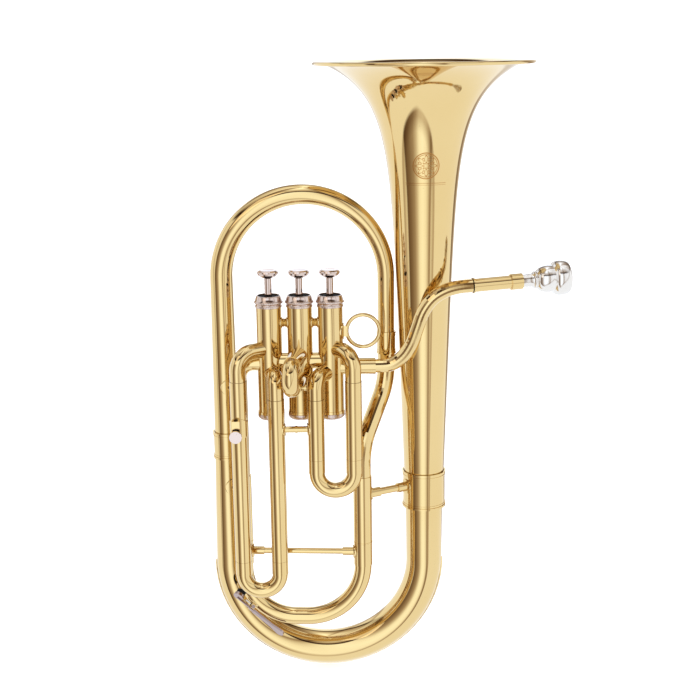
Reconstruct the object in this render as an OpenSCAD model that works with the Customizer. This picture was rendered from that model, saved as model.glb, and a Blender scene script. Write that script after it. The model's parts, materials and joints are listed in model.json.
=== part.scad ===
// Compact three-valve baritone horn. Millimetres, +Z up, +X towards the bell, -Y towards the
// player's side that carries the valve slides. Origin: lowest point of the bow guard.

/* [Bell and bows] */
// Radius of the bell rim
bell_rim_r = 105; // [95:1:110]
// Height of the bell rim above the origin
bell_top_z = 611.8; // [600:1:625]
// Distance from the middle plane to the bell axis and to the left branch
bow_r = 98.2; // [97:0.1:99]
// Height of the bottom bow's centre
bow_z = 117.1; // [117:0.05:118]
// Centreline radius of the top bow
top_bow_r = 79.7; // [79:0.1:80.5]
// Height of the top bow's centre
top_bow_z = 408.75; // [404:1:412]
// Wall of the bell, bows and leadpipe
sheet = 0.8; // [0.6:0.1:1]

/* [Valves] */
// Distance between neighbouring valve axes
valve_pitch = 29.3; // [29:0.1:30]
// Outside diameter of a casing
casing_d = 24.2; // [24:0.1:24.4]
// Diameter of a piston
piston_d = 21.3; // [20:0.1:21.5]
// Travel of a piston
stroke = 16.5; // [14:0.5:17]

/* [Slides] */
// Outside diameter of the valve-slide sleeves
sleeve_d = 16; // [15.8:0.1:16.2]
// Outside diameter of the tuning-slide sleeves
tuning_sleeve_d = 18.4; // [18.2:0.1:18.6]
// Radial running clearance between a slide's leg and its sleeve
slide_gap = 0.05; // [0.03:0.01:0.08]
// Wall of the slide tubes
tube_wall = 0.6; // [0.5:0.1:0.7]

/* [Mouthpiece] */
// Outside diameter of the rim
rim_d = 34; // [32:0.5:35]

/* [Hidden] */
$fn = 64;

// Valve axes
valve_y = -27.5;
valve_1_x = 7.05;
valve_x = [valve_1_x, valve_1_x - valve_pitch, valve_1_x - 2 * valve_pitch];
casing_r = casing_d / 2;
casing_bore_r = piston_d / 2 + slide_gap;
thread_r = casing_r - 0.7;
// Tubes that meet a casing start this far from its axis, before the casing is cut out of them
stub_start = casing_r - 5;
cap_bottom_z = 274;
cap_bottom_h = 6.2;
cap_web = 2.5;
cap_top_z = 396;
cap_top_h = 11.5;
cap_r = 12.9;
felt_depth = 4.5;
thread_h = 5;
piston_z = 305;
piston_top_z = 387.6;
stem_r = 3.5;
button_z = 412.5;
button_r = 10.2;

// Port heights: knuckles, valve slides, leadpipe and exit tube
knuckle_z = 331.5;
upper_port_z = 344;
lower_port_z = 321;
second_port_z = 327.6;
second_port_half = 11.5;
inlet_z = 325.5;
exit_z = 330;
bore_r = 6.5;
knuckle_r = 8;
second_slide_turn = 262.5;

// Valve slides
slide_y = -51;
third_left_x = -81.3;
third_right_x = -45.6;
first_left_x = -7.7;
first_right_x = 28.3;
elbow_r = sleeve_d / 2 - 0.3;
sleeve_r = sleeve_d / 2;
leg_r = sleeve_r - tube_wall - slide_gap;
slide_bow_r = sleeve_r - 0.4;
third_left_ring_z = 317.7;
third_right_ring_z = 299.6;
third_end_z = 136.3;
first_left_ring_z = 299.2;
first_right_ring_z = 316.3;
first_end_z = 239.6;
ferrule_h = 13.7;
joint_gap = 0.2;
third_leg_h = 100;
first_leg_h = 48;

// Main tuning slide
tuning_left = [-82.5, -26];
tuning_right = [36, -33];
tuning_sleeve_r = tuning_sleeve_d / 2;
tuning_leg_r = tuning_sleeve_r - 0.9 - slide_gap;
tuning_bow_r = 8.6;
tuning_top_z = 215.8;
tuning_end_z = 147;
tuning_bow_z = 67;
tuning_corner_r = [51, 56.8];
tuning_leg_h = 58;
tuning_ferrule_h = 23;
tuning_span = norm(tuning_right - tuning_left);
tuning_turn = atan2(tuning_right[1] - tuning_left[1], tuning_right[0] - tuning_left[0]);
tuning_brace_z = 136.9;

// Branches, ferrules and bell
top_bow_x = top_bow_r - bow_r;
right_leg_x = top_bow_x + top_bow_r;
branch_joint_z = 240.2;
branch_ferrule_z = [226.75, 253.75];
leg_joint_z = 343;
leg_ferrule_z = [331.75, 353.75];
bell_joint_z = 192;
bell_seam_z = 470;
bell_ferrule_z = [173.75, 210.75];
bell_ferrule_r = 21.1;
offset_r = 8.5;
offset_bend_r = 55;
offset_bend = 36;
bow_sides = 32;
bow_rings = 36;
guard_t = 1.6;
guard_gap = 0.1;

// Bell flare: height under the rim gives the radius
flare_throat_r = 33.8;
flare_gain = bell_rim_r - flare_throat_r;
flare_depth = 28.6;
flare_power = 0.8155;
stem_taper = 0.0345;
function bell_radius(d) =
    flare_gain * exp(-pow(d / flare_depth, flare_power)) + flare_throat_r - stem_taper * d;

// Leadpipe route, by hand, from valve 1 round the front of the bell
lead_r = 6.6;
lead_route = [
    [17, -27.5, 325.5], [34, -27.5, 325.5], [50, -27.5, 325.5], [65, -27.8, 326.8], [76.5, -29, 335],
    [84.5, -31.2, 348], [90, -34, 364], [95.5, -36.4, 380], [104.5, -36.9, 392.5],
    [117, -36.3, 400], [130, -35.2, 403.2], [142, -34, 404], [154, -32.4, 404.5]
];
lead_steps = 4;
receiver_turn = [0, 87.9, 12.3];
receiver_start = lead_route[11];
receiver_l = 49;
collar_l = 11;
shank_in = 20;

// Water key, in a frame whose +X runs along the lever and whose +Z points away from the tube
key_pivot = [-76.6, -35.6, 79.1];
key_turn = [132, 42, 0];
key_cork = [-18, 3];
key_lever_end = 43;
key_pin_r = 1;

// Lyre socket and finger ring
lyre_x = -83.3;
lyre_y = -62.4;
lyre_z = [262.3, 282.3];
lyre_r = 2.5;
lyre_w = 7.4;
lyre_screw_z = 268.4;
ring_centre = [38.3, valve_y, 360.2];
ring_r = 15.6;
ring_wire_r = 1.9;

brass = [0.87, 0.70, 0.36];
nickel = [0.80, 0.76, 0.75];
silver = [0.90, 0.90, 0.91];
black = [0.06, 0.06, 0.06];

// ---- Swept shapes ----

function unit(v) = v / norm(v);
function tangent(path, i) =
    unit(path[min(i + 1, len(path) - 1)] - path[max(i - 1, 0)]);
// Points of a round section, square to the path, starting on the side away from +Y
function section(path, i, r, sides, from = 0, span = 360) =
    let (t = tangent(path, i), side = unit(cross(t, [0, 1, 0])), up = cross(side, t))
    [for (k = [0:sides - 1])
        let (a = from + span * k / (span == 360 ? sides : sides - 1))
        path[i] + r * (cos(a) * side + sin(a) * up)];

// Two triangles for each cell between rings of n points, starting at point number base
function wall_faces(base, rings, n, flip) = [
    for (i = [0:rings - 2]) for (k = [0:n - 1])
        let (a = base + i * n + k, b = base + i * n + (k + 1) % n, c = a + n, d = b + n)
        for (f = [[a, b, d], [a, d, c]]) flip ? [f[2], f[1], f[0]] : f
];

function annulus_faces(outer, inner, n, flip) = [
    for (k = [0:n - 1])
        let (a = outer + k, b = outer + (k + 1) % n, c = inner + k, d = inner + (k + 1) % n)
        for (f = [[a, c, d], [a, d, b]]) flip ? [f[2], f[1], f[0]] : f
];

// Hollow tube of changing radius along a path
module swept_tube(path, radii, wall, sides) {
    rings = len(path);
    count = rings * sides;
    outer = [for (i = [0:rings - 1]) each section(path, i, radii[i], sides)];
    inner = [for (i = [0:rings - 1]) each section(path, i, radii[i] - wall, sides)];
    last = (rings - 1) * sides;
    polyhedron(
        concat(outer, inner),
        concat(
            wall_faces(0, rings, sides, false),
            wall_faces(count, rings, sides, true),
            annulus_faces(0, count, sides, false),
            annulus_faces(last, count + last, sides, true)
        )
    );
}

// Solid skinned over a list of closed sections with the same number of points
module skin(sections) {
    n = len(sections[0]);
    rings = len(sections);
    polyhedron(
        [for (s = sections) each s],
        concat(
            wall_faces(0, rings, n, false),
            [[for (k = [0:n - 1]) n - 1 - k]],
            [[for (k = [0:n - 1]) (rings - 1) * n + k]]
        )
    );
}

// Smooth curve through points 1 to n-2 of a hand-set route
function curve_point(p, i, t) = 0.5 * (
    2 * p[i] + (p[i + 1] - p[i - 1]) * t
    + (2 * p[i - 1] - 5 * p[i] + 4 * p[i + 1] - p[i + 2]) * t * t
    + (3 * p[i] - p[i - 1] - 3 * p[i + 1] + p[i + 2]) * t * t * t
);
function smooth_route(p, steps) = concat(
    [for (i = [1:len(p) - 3]) for (s = [0:steps - 1]) curve_point(p, i, s / steps)],
    [p[len(p) - 2]]
);

// ---- Turned and bent tubes ----

module pipe(r, inner, h) {
    difference() {
        cylinder(r = r, h = h);
        translate([0, 0, -1]) cylinder(r = inner, h = h + 2);
    }
}

// Bend of a tube in the XZ plane, from +X round towards +Z, about the origin
module bend(centre_r, r, inner, sweep) {
    rotate([90, 0, 0]) rotate_extrude(angle = sweep) translate([centre_r, 0]) difference() {
        circle(r = r);
        circle(r = inner);
    }
}

module bore_cut(inner, h) {
    translate([0, 0, -1]) cylinder(r = inner, h = h + 2);
}

// Ferrule: a ring with a bead at each end, bored for the two tubes it joins
module ferrule(z, r, bead, low_bore, high_bore) {
    h = z[1] - z[0];
    translate([0, 0, z[0]]) difference() {
        union() {
            cylinder(r = r, h = h);
            cylinder(r = r + bead, h = 2);
            translate([0, 0, h - 2]) cylinder(r = r + bead, h = 2);
            translate([0, 0, 3.2]) cylinder(r = r + bead / 2, h = 1);
            translate([0, 0, h - 4.2]) cylinder(r = r + bead / 2, h = 1);
        }
        translate([0, 0, -1]) cylinder(r = low_bore, h = h / 2 + 1);
        translate([0, 0, h / 2]) cylinder(r = high_bore, h = h / 2 + 1);
    }
}

// Rod between two points, with a wider socket at each end
module strut(from, to, rod_r, socket_r, socket_l) {
    span = to - from;
    l = norm(span);
    translate(from) rotate([0, acos(span[2] / l), atan2(span[1], span[0])]) {
        cylinder(r = rod_r, h = l);
        cylinder(r = socket_r, h = socket_l);
        translate([0, 0, l - socket_l]) cylinder(r = socket_r, h = socket_l);
    }
}

// Thin plate curved round a tube, cut from a disc that faces away from the tube's axis
module saddle(axis, z, tube_r, turn, plate_r, plate_t) {
    translate([axis[0], axis[1], z]) rotate([0, 0, turn]) intersection() {
        rotate([0, 90, 0]) cylinder(r = plate_r, h = tube_r + plate_t + 1);
        difference() {
            translate([0, 0, -plate_r]) cylinder(r = tube_r + plate_t, h = 2 * plate_r);
            translate([0, 0, -plate_r - 1]) cylinder(r = tube_r + 0.03, h = 2 * plate_r + 2);
        }
    }
}

// ---- Bell and bows ----

bell_bead_r = 1.9;
// Depths under the rim, closer together where the flare turns fastest
function bell_depths(from, to, n) = [
    for (k = [0:n])
        pow(pow(from, 0.45) + (pow(to, 0.45) - pow(from, 0.45)) * k / n, 1 / 0.45)
];
function bell_outside(depths) = [for (d = depths) [bell_radius(d), bell_top_z - d]];
function bell_inside(depths) = [
    for (d = depths)
        let (s = (bell_radius(d + 0.2) - bell_radius(d)) / 0.2, l = norm([1, s]))
        [bell_radius(d) - sheet / l, bell_top_z - d - sheet * s / l]
];
function bell_end(d) = [bell_radius(d) - sheet, bell_top_z - d];
function middle_of(p) = [for (k = [1:len(p) - 2]) p[k]];
function reversed(p) = [for (k = [len(p) - 1:-1:0]) p[k]];

// Spun flare with its wired rim
module bell() {
    depths = bell_depths(0.95, bell_top_z - bell_seam_z, 24);
    inside = bell_inside(depths);
    wire = [bell_rim_r - bell_bead_r, bell_top_z + 0.4 - bell_bead_r];
    color(brass) translate([bow_r, 0, 0]) rotate_extrude($fn = 96) polygon(concat(
        reversed(bell_outside(depths)),
        [for (a = [180:20:460]) wire + bell_bead_r * [cos(a), sin(a)]],
        [inside[0]], middle_of(inside), [bell_end(bell_top_z - bell_seam_z)]
    ));
}

// Tapered stem brazed to the flare
module bell_stem() {
    top = bell_top_z - bell_seam_z;
    bottom = bell_top_z - bell_joint_z;
    depths = bell_depths(top, bottom, 12);
    color(brass) translate([bow_r, 0, 0]) rotate_extrude($fn = 96) polygon(concat(
        reversed(bell_outside(depths)),
        [bell_end(top)], middle_of(bell_inside(depths)), [bell_end(bottom)]
    ));
}

module bell_ferrule() {
    color(brass) translate([bow_r, 0, 0])
        ferrule(bell_ferrule_z, bell_ferrule_r, 0.8, 19.35, 20.5);
}

// Tube radius of the bottom bow: down the branch, round the bow, up to the bell ferrule
bow_size = [[0, 12.4], [124, 15], [278.2, 17.25], [432.5, 17.9], [508.2, 18.9]];
branch_l = branch_joint_z - bow_z;
bow_rise = bell_joint_z - 0.3 - bow_z;
function bow_angle_path(n) = [
    for (k = [0:n]) let (a = 180 + 180 * k / n) [bow_r * cos(a), 0, bow_z + bow_r * sin(a)]
];
bottom_path = concat(
    [for (k = [0:3]) [-bow_r, 0, branch_joint_z - branch_l * k / 4]],
    bow_angle_path(bow_rings),
    [for (k = [1:3]) [bow_r, 0, bow_z + bow_rise * k / 3]]
);
bottom_radii = concat(
    [for (k = [0:3]) lookup(branch_l * k / 4, bow_size)],
    [for (k = [0:bow_rings]) lookup(branch_l + PI * bow_r * k / bow_rings, bow_size)],
    [for (k = [1:3]) lookup(branch_l + PI * bow_r + bow_rise * k / 3, bow_size)]
);

module bottom_bow() {
    color(brass) swept_tube(bottom_path, bottom_radii, sheet, bow_sides);
}

// Crowned strip along the outside of the bottom bow, tapering at both ends
guard_half = 18;
guard_points = 7;
guard_path = bow_angle_path(bow_rings);
function guard_point(i, r, a) = section(guard_path, i, r, 1, 180 + a)[0];

module bow_guard() {
    color(brass) skin([
        for (i = [0:bow_rings])
            let (
                r = lookup(branch_l + PI * bow_r * i / bow_rings, bow_size) + guard_gap,
                from_tip = min(i, bow_rings - i),
                half = guard_half * min(1, 0.45 + 0.28 * from_tip),
                t = guard_t * min(1, 0.8 + 0.1 * from_tip)
            )
            concat(
                [for (k = [0:guard_points - 1])
                    let (a = half * (2 * k / (guard_points - 1) - 1))
                    guard_point(i, r + t * (0.3 + 0.7 * cos(90 * a / half)), a)],
                [for (k = [guard_points - 1:-1:0])
                    let (a = half * (2 * k / (guard_points - 1) - 1))
                    guard_point(i, r, a)]
            )
    ]);
}

module branch_ferrule() {
    color(brass) translate([-bow_r, 0, 0]) ferrule(branch_ferrule_z, 13.4, 0.7, 12.8, 12.5);
}

top_size = [[0, 8], [65.7, 8.2], [190.9, 9.75], [316.1, 11], [484.6, 12.2]];
top_rise = top_bow_z - leg_joint_z;
top_drop = top_bow_z - branch_joint_z - 0.3;
top_path = concat(
    [for (k = [0:1]) [right_leg_x, 0, leg_joint_z + top_rise * k / 2]],
    [for (k = [0:bow_rings])
        let (a = 180 * k / bow_rings)
        [top_bow_x + top_bow_r * cos(a), 0, top_bow_z + top_bow_r * sin(a)]],
    [for (k = [1:4]) [-bow_r, 0, top_bow_z - top_drop * k / 4]]
);
top_radii = concat(
    [for (k = [0:1]) lookup(top_rise * k / 2, top_size)],
    [for (k = [0:bow_rings]) lookup(top_rise + PI * top_bow_r * k / bow_rings, top_size)],
    [for (k = [1:4]) lookup(top_rise + PI * top_bow_r + top_drop * k / 4, top_size)]
);

module top_bow() {
    color(brass) swept_tube(top_path, top_radii, sheet, 24);
}

module top_bow_ferrule() {
    color(brass) translate([right_leg_x, 0, 0]) ferrule(leg_ferrule_z, 9.1, 0.5, 8.55, 8.25);
}

// Two equal bends and a straight, from the top bow's right leg to the right tuning sleeve:
// distance along the offset, and height
offset_shift = tuning_right - [right_leg_x, 0];
offset_reach = norm(offset_shift);
offset_straight = (offset_reach - 2 * offset_bend_r * (1 - cos(offset_bend))) / sin(offset_bend);
offset_drop = 2 * offset_bend_r * sin(offset_bend) + offset_straight * cos(offset_bend);
offset_start_z = leg_joint_z - 22;
offset_steps = 8;
offset_side = concat(
    [[0, leg_joint_z - 0.3]],
    [for (k = [0:offset_steps])
        let (a = offset_bend * k / offset_steps)
        [offset_bend_r * (1 - cos(a)), offset_start_z - offset_bend_r * sin(a)]],
    [for (k = [offset_steps:-1:0])
        let (a = offset_bend * k / offset_steps)
        [offset_reach - offset_bend_r * (1 - cos(a)),
            offset_start_z - offset_drop + offset_bend_r * sin(a)]],
    [[offset_reach, tuning_top_z - 5]]
);

module offset_tube() {
    path = [
        for (p = offset_side)
            [right_leg_x + offset_shift[0] * p[0] / offset_reach,
                offset_shift[1] * p[0] / offset_reach, p[1]]
    ];
    color(brass) swept_tube(path, [for (p = path) offset_r], tube_wall, 24);
}

// ---- Main tuning slide ----

module tuning_sleeve(place, tube_r) {
    shoulder_z = tuning_top_z - 5.5;
    translate([place[0], place[1], tuning_end_z]) difference() {
        union() {
            cylinder(r = tuning_sleeve_r, h = tuning_top_z - tuning_end_z);
            cylinder(r = tuning_sleeve_r + 0.3, h = 1.2);
        }
        bore_cut(tuning_leg_r + slide_gap, shoulder_z - tuning_end_z - 1);
        translate([0, 0, shoulder_z - tuning_end_z - 1]) cylinder(r = 7.4, h = 2);
        translate([0, 0, shoulder_z - tuning_end_z]) cylinder(r = tube_r + slide_gap, h = 10);
    }
}

module tuning_sleeve_left() {
    color(brass) tuning_sleeve(tuning_left, 8.2);
}

module tuning_sleeve_right() {
    color(brass) tuning_sleeve(tuning_right, offset_r);
}

// Local frame of the slide: X from the left leg to the right one, origin on the left leg
module tuning_frame() {
    translate([tuning_left[0], tuning_left[1], 0]) rotate([0, 0, tuning_turn]) children();
}

module tuning_slide() {
    inner = tuning_leg_r - tube_wall;
    ferrule_z = tuning_end_z - joint_gap - tuning_ferrule_h;
    left = tuning_corner_r[0];
    right = tuning_corner_r[1];
    color(brass) tuning_frame() {
        for (side = [0, 1]) translate([side * tuning_span, 0, 0]) {
            corner_z = tuning_bow_z + tuning_corner_r[side];
            translate([0, 0, tuning_end_z - joint_gap]) pipe(tuning_leg_r, inner, tuning_leg_h);
            translate([0, 0, ferrule_z]) pipe(tuning_sleeve_r, inner, tuning_ferrule_h);
            translate([0, 0, corner_z]) pipe(tuning_bow_r, inner, ferrule_z - corner_z);
        }
        translate([left, 0, tuning_bow_z + left]) rotate([0, 90, 0])
            bend(left, tuning_bow_r, inner, -90);
        translate([left, 0, tuning_bow_z]) rotate([0, 90, 0])
            pipe(tuning_bow_r, inner, tuning_span - left - right);
        translate([tuning_span - right, 0, tuning_bow_z + right]) rotate([0, 90, 0])
            bend(right, tuning_bow_r, inner, 90);
    }
    color(brass) key_frame() difference() {
        union() {
            translate([key_cork[0], key_cork[1], -12]) cylinder(r = 3.2, h = 5.8);
            for (y = [-3.6, 2]) translate([-2.2, y, -4.6]) cube([4.4, 1.6, 6.2]);
            translate([-4, -4.5, -5.2]) cube([8, 9, 1.6]);
        }
        translate([0, 5, 0]) rotate([90, 0, 0]) cylinder(r = key_pin_r + 0.02, h = 10);
        translate([key_cork[0], key_cork[1], -13]) cylinder(r = 1.6, h = 8);
    }
}

module tuning_brace() {
    reach = tuning_span - tuning_sleeve_r - 0.03;
    color(brass) {
        tuning_frame() translate([0, 0, tuning_brace_z]) difference() {
            strut([tuning_sleeve_r - 1, 0, 0], [reach + 1, 0, 0], 2.9, 4.1, 12);
            for (x = [0, tuning_span]) translate([x, 0, -10])
                cylinder(r = tuning_sleeve_r + 0.03, h = 20);
        }
        saddle(tuning_left, tuning_brace_z, tuning_sleeve_r, tuning_turn, 6.5, 0.9);
        saddle(tuning_right, tuning_brace_z, tuning_sleeve_r, tuning_turn + 180, 6.5, 0.9);
    }
}

// ---- Water key ----

module key_frame() {
    translate(key_pivot) rotate(key_turn) children();
}

module water_key_lever() {
    color(nickel) key_frame() difference() {
        union() {
            translate([0, 1.8, 0]) rotate([90, 0, 0]) cylinder(r = 2.2, h = 3.6);
            translate([0, -1.8, 0.4]) cube([4, 3.6, 1.8]);
            translate([3.4, -2.5, 0.4]) cube([key_lever_end - 18, 5, 2]);
            hull() {
                translate([key_lever_end - 16, -2.5, 0.4]) cube([1, 5, 2]);
                translate([key_lever_end - 5, 0, 0.4]) cylinder(r = 4.8, h = 2, $fn = 24);
            }
            translate([key_cork[0], 0, 0.4]) cube([-key_cork[0], 1.8, 1.8]);
            translate([key_cork[0], key_cork[1], -1.7]) cylinder(r = 5.3, h = 2.9);
        }
        translate([key_cork[0], key_cork[1], -2.7]) cylinder(r = 4.6, h = 2.7);
        translate([0, 3, 0]) rotate([90, 0, 0]) cylinder(r = key_pin_r + 0.06, h = 6);
    }
}

module water_key_cork() {
    color(black) key_frame() translate([key_cork[0], key_cork[1], -6.1])
        cylinder(r = 4.55, h = 6);
}

module water_key_pin() {
    color(nickel) key_frame() {
        translate([0, 3.6, 0]) rotate([90, 0, 0]) cylinder(r = key_pin_r, h = 7.2);
        translate([0, 4.6, 0]) rotate([90, 0, 0]) cylinder(r = 1.9, h = 0.9);
    }
}

// Flat return spring under the lever, fixed to the saddle
module water_key_spring() {
    color(brass) key_frame() translate([-9, -1.2, -3.4]) cube([12, 2.4, 0.5]);
}

// ---- Valves ----

function port_turn(v, place) =
    atan2(place[1] - valve_y, place[0] - valve_x[v]);

// Heights and directions of the ports of each valve: outlets, then the two slide ports
ports = [
    [[0, inlet_z], [180, knuckle_z], [port_turn(0, [first_right_x, slide_y]), upper_port_z],
        [port_turn(0, [first_left_x, slide_y]), lower_port_z]],
    [[0, knuckle_z], [180, knuckle_z], [second_slide_turn, second_port_z + second_port_half],
        [second_slide_turn, second_port_z - second_port_half]],
    [[0, knuckle_z], [port_turn(2, tuning_left), exit_z],
        [port_turn(2, [third_left_x, slide_y]), upper_port_z],
        [port_turn(2, [third_right_x, slide_y]), lower_port_z]]
];

module at_valve(v) {
    translate([valve_x[v], valve_y, 0]) children();
}

module valve_casing(v) {
    low = cap_bottom_z + cap_web + 0.3;
    shoulder_low = cap_bottom_z + cap_bottom_h;
    shoulder_high = cap_top_z - cap_top_h;
    high = shoulder_high + thread_h;
    at_valve(v) difference() {
        union() {
            translate([0, 0, low]) cylinder(r = thread_r, h = high - low);
            translate([0, 0, shoulder_low]) cylinder(r = casing_r, h = shoulder_high - shoulder_low);
            translate([0, 0, shoulder_low]) cylinder(r = cap_r, h = 2.2);
        }
        translate([0, 0, low - 1]) cylinder(r = casing_bore_r, h = high - low + 2);
        for (p = ports[v]) rotate([0, 0, p[0]]) translate([0, 0, p[1]]) rotate([0, 90, 0])
            cylinder(r = bore_r, h = casing_r + 2);
    }
}

module valve_casing_1() { color(brass) valve_casing(0); }
module valve_casing_2() { color(brass) valve_casing(1); }
module valve_casing_3() { color(brass) valve_casing(2); }

module casing_cut() {
    for (v = [0:2]) at_valve(v) translate([0, 0, cap_bottom_z])
        cylinder(r = casing_r + 0.03, h = cap_top_z - cap_bottom_z);
}

module valve_knuckles() {
    color(brass) difference() {
        translate([valve_x[2], valve_y, knuckle_z]) rotate([0, 90, 0])
            pipe(knuckle_r, bore_r, 2 * valve_pitch);
        casing_cut();
    }
}

module casing_braces() {
    color(brass) difference() {
        for (v = [1, 2]) translate([valve_x[v], valve_y, 369.2]) rotate([0, 90, 0]) {
            cylinder(r = 4.6, h = valve_pitch);
            for (x = [casing_r - 0.5, valve_pitch - casing_r - 0.9])
                translate([0, 0, x]) cylinder(r = 5.4, h = 1.4);
            translate([0, 0, valve_pitch / 2 - 0.4]) cylinder(r = 5.1, h = 0.8);
        }
        casing_cut();
    }
}

module top_cap(v) {
    base = cap_top_z - cap_top_h;
    at_valve(v) difference() {
        rotate_extrude() polygon([
            [0, base + 0.05], [12.5, base + 0.05], [12.8, base + 0.5], [12.8, base + 2.2],
            [12.3, base + 2.7], [12.3, base + 3.4], [13.5, base + 4.2], [13.8, base + 5.2],
            [13.5, base + 6.2], [11.7, cap_top_z - 0.6], [11.3, cap_top_z], [0, cap_top_z]
        ]);
        translate([0, 0, base - 1]) cylinder(r = thread_r + 0.03, h = thread_h + 1);
        translate([0, 0, cap_top_z - felt_depth]) cylinder(r = 10.3, h = felt_depth + 1);
        translate([0, 0, base]) cylinder(r = stem_r + 0.3, h = cap_top_h);
    }
}

module top_cap_1() { color(nickel) top_cap(0); }
module top_cap_2() { color(nickel) top_cap(1); }
module top_cap_3() { color(nickel) top_cap(2); }

module bottom_cap(v) {
    at_valve(v) difference() {
        rotate_extrude() polygon([
            [0, cap_bottom_z], [8.5, cap_bottom_z], [10.8, cap_bottom_z + 0.7],
            [12.1, cap_bottom_z + 1.9], [cap_r, cap_bottom_z + 3.4],
            [cap_r, cap_bottom_z + cap_bottom_h - 0.6], [12.6, cap_bottom_z + cap_bottom_h - 0.05],
            [0, cap_bottom_z + cap_bottom_h - 0.05]
        ]);
        translate([0, 0, cap_bottom_z + cap_web]) cylinder(r = thread_r + 0.03, h = cap_bottom_h);
        translate([0, 0, cap_bottom_z - 1]) cylinder(r = 1.6, h = cap_web + 2);
    }
}

module bottom_cap_1() { color(nickel) bottom_cap(0); }
module bottom_cap_2() { color(nickel) bottom_cap(1); }
module bottom_cap_3() { color(nickel) bottom_cap(2); }

module cap_felts() {
    color(black) for (v = [0:2]) at_valve(v)
        translate([0, 0, cap_top_z - felt_depth + 0.02]) pipe(10.25, stem_r + 0.35, 3.4);
}

// Straight passage between two points on a piston's wall
module passage(from, to, r, extra) {
    span = to - from;
    l = norm(span);
    translate(from) rotate([0, acos(span[2] / l), atan2(span[1], span[0])])
        translate([0, 0, -extra]) cylinder(r = r, h = l + 2 * extra);
}

// Wall point of a port; pressing the valve brings a raised passage down to its port
function wall_point(p, raise) =
    [piston_d / 2 * cos(p[0]), piston_d / 2 * sin(p[0]), p[1] + raise];

module piston(v) {
    h = piston_top_z - piston_z;
    r = piston_d / 2;
    p = ports[v];
    passages = [
        [wall_point(p[0], 0), wall_point(p[1], 0), bore_r - 0.3],
        [wall_point(p[0], stroke), wall_point(p[3], stroke), bore_r - 1.5],
        [wall_point(p[1], stroke), wall_point(p[2], stroke), bore_r - 1.5]
    ];
    at_valve(v) difference() {
        union() {
            translate([0, 0, piston_z]) difference() {
                cylinder(r = r, h = h);
                translate([0, 0, 1.2]) cylinder(r = r - 0.9, h = h - 3);
            }
            intersection() {
                translate([0, 0, piston_z]) cylinder(r = r - 0.4, h = h);
                for (w = passages) passage(w[0], w[1], w[2] + 0.6, 0);
            }
        }
        for (w = passages) passage(w[0], w[1], w[2], 4);
        translate([0, 0, piston_top_z - 3]) cylinder(r = 2, h = 4);
    }
}

module piston_1() { color(nickel) piston(0); }
module piston_2() { color(nickel) piston(1); }
module piston_3() { color(nickel) piston(2); }

module valve_stem(v) {
    at_valve(v) {
        translate([0, 0, piston_top_z + 0.02]) cylinder(r = stem_r, h = button_z - piston_top_z - 0.02);
        translate([0, 0, piston_top_z - 2]) cylinder(r = 1.98, h = 3);
    }
}

module valve_stem_1() { color(nickel) valve_stem(0); }
module valve_stem_2() { color(nickel) valve_stem(1); }
module valve_stem_3() { color(nickel) valve_stem(2); }

module finger_button(v) {
    at_valve(v) translate([0, 0, button_z + 0.02]) rotate_extrude() polygon([
        [0, 0], [4.6, 0], [5.2, 0.6], [7.6, 1.4], [9.6, 3.4], [button_r, 5.2], [9.8, 6.6],
        [8.6, 7.6], [7, 7.9], [4, 7.5], [0, 7.3]
    ]);
}

module finger_button_1() { color(nickel) finger_button(0); }
module finger_button_2() { color(nickel) finger_button(1); }
module finger_button_3() { color(nickel) finger_button(2); }

// Helical return spring between the bottom cap and the piston
spring_turns = 5;
spring_wire_r = 0.6;
spring_r = 8.4;
module valve_spring(v) {
    low = cap_bottom_z + cap_web + spring_wire_r + 0.1;
    rise = piston_z - spring_wire_r - 0.1 - low;
    steps = spring_turns * 10;
    path = [
        for (k = [0:steps])
            let (a = 36 * k) [spring_r * cos(a), spring_r * sin(a), low + rise * k / steps]
    ];
    at_valve(v) skin([
        for (k = [0:steps])
            let (a = 36 * k, side = [cos(a), sin(a), 0])
            [for (j = [0:5]) path[k] + spring_wire_r * (cos(60 * j) * side - [0, 0, sin(60 * j)])]
    ]);
}

module valve_spring_1() { color(nickel) valve_spring(0); }
module valve_spring_2() { color(nickel) valve_spring(1); }
module valve_spring_3() { color(nickel) valve_spring(2); }

// ---- Valve slides ----

// Elbow from a casing, and below its ring the wider sleeve
module valve_leg(v, place, port_z, bend_r, ring_z, end_z, tube_r, wide_r, wide_bore) {
    reach = norm(place - [valve_x[v], valve_y]);
    shoulder = 2;
    at_valve(v) rotate([0, 0, port_turn(v, place)]) {
        difference() {
            translate([stub_start, 0, port_z]) rotate([0, 90, 0])
                pipe(tube_r, bore_r, reach - bend_r - stub_start);
            translate([0, 0, port_z - 20]) cylinder(r = casing_r + 0.03, h = 40);
        }
        translate([reach - bend_r, 0, port_z - bend_r]) bend(bend_r, tube_r, bore_r, 90);
        translate([reach, 0, ring_z]) pipe(tube_r, bore_r, port_z - bend_r - ring_z);
        translate([reach, 0, ring_z - shoulder]) pipe(wide_r, bore_r, shoulder);
        translate([reach, 0, end_z]) pipe(wide_r, wide_bore, ring_z - shoulder - end_z);
    }
}

module valve_sleeve(v, x, port_z, bend_r, ring_z, end_z) {
    valve_leg(v, [x, slide_y], port_z, bend_r, ring_z, end_z, elbow_r, sleeve_r, leg_r + slide_gap);
}

module exit_tube() {
    color(brass) valve_leg(2, tuning_left, exit_z, 15, 312, tuning_top_z - 5, 7.9, 8.2, 7.4);
}

module third_sleeve_left() {
    color(brass) valve_sleeve(2, third_left_x, upper_port_z, 17, third_left_ring_z, third_end_z);
}

module third_sleeve_right() {
    color(brass) valve_sleeve(2, third_right_x, lower_port_z, 10, third_right_ring_z, third_end_z);
}

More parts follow.
